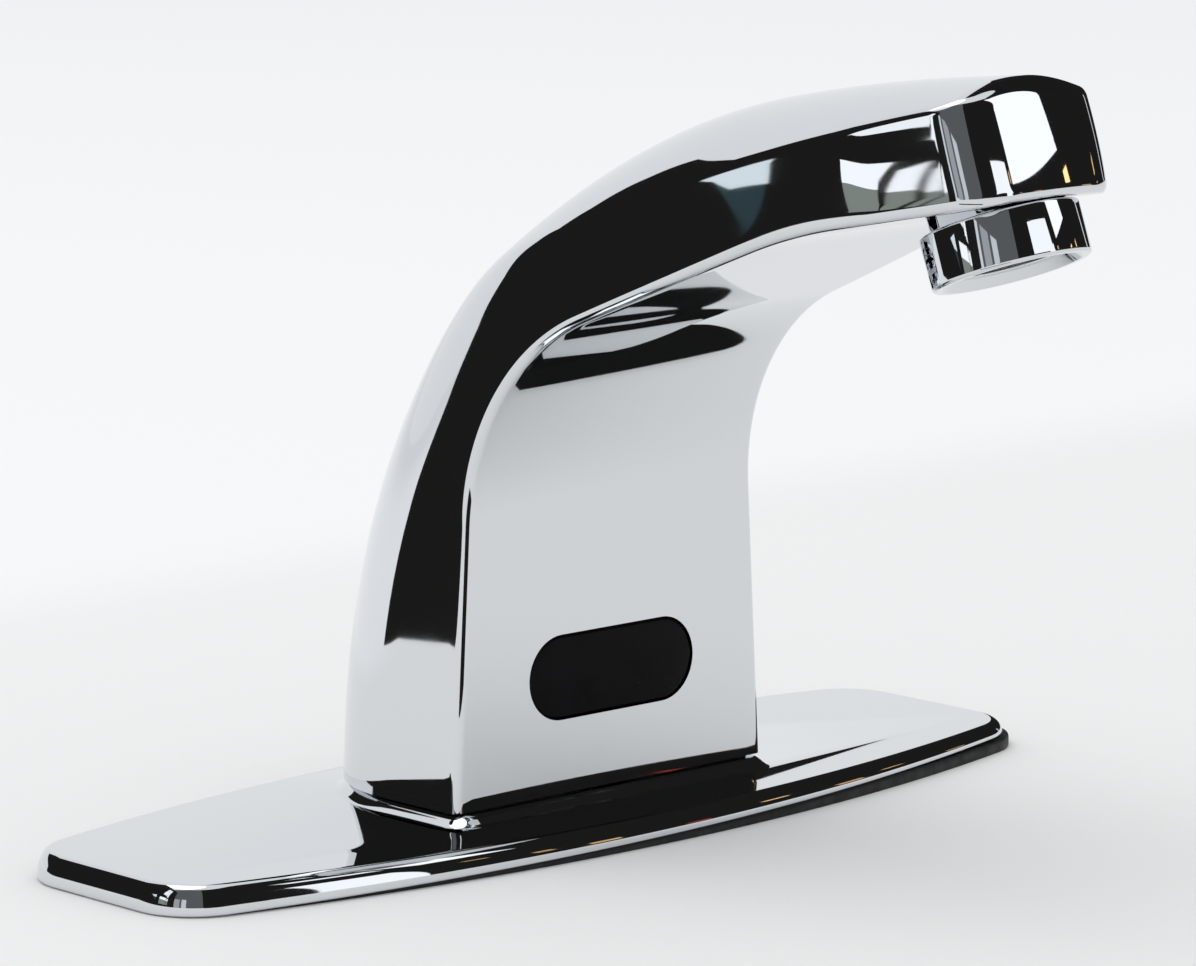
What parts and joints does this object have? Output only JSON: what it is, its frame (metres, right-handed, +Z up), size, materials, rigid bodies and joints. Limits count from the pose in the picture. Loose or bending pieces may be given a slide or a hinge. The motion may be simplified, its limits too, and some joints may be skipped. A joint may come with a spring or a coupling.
{
  "type": "sensor tap",
  "caption": "Touch-free basin tap: a chromed arched spout with a dark infrared window and a screw-in aerator, on a long deck plate with a rubber gasket.",
  "frame": {"origin": "on the axis of the water inlet, at the level of the surface that the deck plate stands on, under the middle of the plate", "axes": "+Z is up, +X runs along the deck plate, and the spout points to -Y"},
  "size_m": [0.1606, 0.1262, 0.1097],
  "materials": {
    "chrome_body": "polished",
    "chrome_plate": "polished",
    "chrome_ring": "polished",
    "black_rubber": "matt",
    "dark_lens": "glossy",
    "black_plastic": "satin",
    "board_green": "satin",
    "eye_clear": "glossy",
    "eye_dark": "glossy",
    "steel_screw": "satin",
    "brass": "machined",
    "grey_plastic": "satin",
    "steel_mesh": "woven",
    "blue_plastic": "satin"
  },
  "bodies": {
    "tap": {"tap_body": "chrome_body", "deck_plate": "chrome_plate", "deck_gasket": "black_rubber", "base_seal": "black_rubber", "sensor_window": "dark_lens", "window_seal": "black_rubber", "sensor_housing": "black_plastic", "sensor_board": "board_green", "infrared_emitter": "eye_clear", "infrared_receiver": "eye_dark", "sensor_screws": "steel_screw", "base_insert": "brass", "base_screws": "steel_screw", "inlet_connector": "brass", "inlet_ring": "black_rubber", "supply_tube": "brass", "tube_collar": "black_rubber", "cable_grommet": "black_rubber"},
    "aerator_stack": {"aerator_cartridge": "grey_plastic", "aerator_screens": "steel_mesh", "flow_regulator": "blue_plastic", "aerator_washer": "black_rubber"},
    "aerator_ring": {"aerator_housing": "chrome_ring"}
  },
  "joints": [
    {"name": "aerator_drop", "type": "slide", "parent": "tap", "child": "aerator_stack", "axis": [0, -0.3584, -0.9336], "range_m": [0, 0.00401]},
    {"name": "aerator_unscrew", "type": "hinge", "parent": "aerator_stack", "child": "aerator_ring", "pos_m": [0, -0.086, 0.0911], "axis": [0, -0.3584, -0.9336], "range_deg": [0, 1440]}
  ],
  "couplings": [
    {"joint": "aerator_drop", "follows": "aerator_unscrew", "m_per_rad": 0.00015915}
  ]
}
